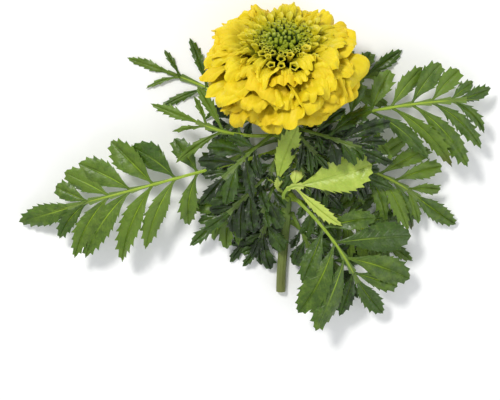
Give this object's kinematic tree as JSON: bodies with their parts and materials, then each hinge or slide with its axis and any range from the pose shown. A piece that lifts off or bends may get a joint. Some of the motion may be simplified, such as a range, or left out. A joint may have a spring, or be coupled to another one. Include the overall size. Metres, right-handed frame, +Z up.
{
  "type": "african marigold flower",
  "caption": "Double yellow African marigold head on its cut leafy stem, lying on a surface, with petals, cup, receptacle and feathery leaves.",
  "frame": {"origin": "on the surface that the flower lies on, at the centre of the bounding box's base", "axes": "+Y along the stem from its cut end to the head, +Z up, +X across to the right seen from above"},
  "size_m": [0.2712, 0.1864, 0.084],
  "materials": {
    "ray_petal": "smooth, soft sheen",
    "rolled_floret": "smooth, soft sheen",
    "disc_floret": "satin",
    "leaf": "satin, slightly glossy",
    "pale_leaf": "satin",
    "stem": "satin, ribbed"
  },
  "bodies": {
    "root": {"stem": "stem", "involucre": "stem", "receptacle": "stem", "ray_floret_row_1_01": "ray_petal", "ray_floret_row_1_02": "ray_petal", "ray_floret_row_1_03": "ray_petal", "ray_floret_row_1_04": "ray_petal", "ray_floret_row_1_05": "ray_petal", "ray_floret_row_1_06": "ray_petal", "ray_floret_row_1_07": "ray_petal", "ray_floret_row_1_08": "ray_petal", "ray_floret_row_1_09": "ray_petal", "ray_floret_row_1_10": "ray_petal", "ray_floret_row_1_11": "ray_petal", "ray_floret_row_1_12": "ray_petal", "ray_floret_row_1_13": "ray_petal", "ray_floret_row_1_14": "ray_petal", "ray_florets_row_2": "ray_petal", "ray_florets_row_3": "ray_petal", "ray_florets_row_4": "ray_petal", "ray_florets_row_5": "ray_petal", "ray_florets_row_6": "ray_petal", "ray_florets_row_7": "ray_petal", "ray_florets_row_8": "ray_petal", "rolled_florets": "rolled_floret", "disc_florets": "disc_floret", "leaf_left_long": "leaf", "leaf_right_long": "leaf", "leaf_right_low": "leaf", "leaf_front": "leaf", "leaf_top_pale": "pale_leaf", "leaf_top_upright": "pale_leaf", "leaf_back_left": "leaf", "leaf_left_mid": "leaf", "leaf_back_right": "leaf", "leaf_inner_left": "leaf", "leaf_inner_right": "leaf", "leaf_over_left": "leaf", "leaf_over_front": "leaf", "leaf_over_right": "leaf", "leaf_mid_left": "leaf", "leaf_mid_right": "leaf", "leaf_low_left": "leaf", "leaf_low_right": "leaf", "leaf_axil_left_1": "leaf", "leaf_axil_left_2": "leaf", "leaf_axil_left_3": "leaf", "leaf_axil_left_4": "leaf", "leaf_axil_left_5": "leaf", "leaf_axil_left_6": "leaf", "leaf_axil_left_7": "leaf", "leaf_axil_right_1": "leaf", "leaf_axil_right_2": "leaf", "leaf_axil_right_3": "leaf", "leaf_axil_right_4": "leaf", "leaf_axil_right_5": "leaf", "leaf_axil_right_6": "leaf", "leaf_axil_right_7": "leaf"}
  },
  "joints": []
}
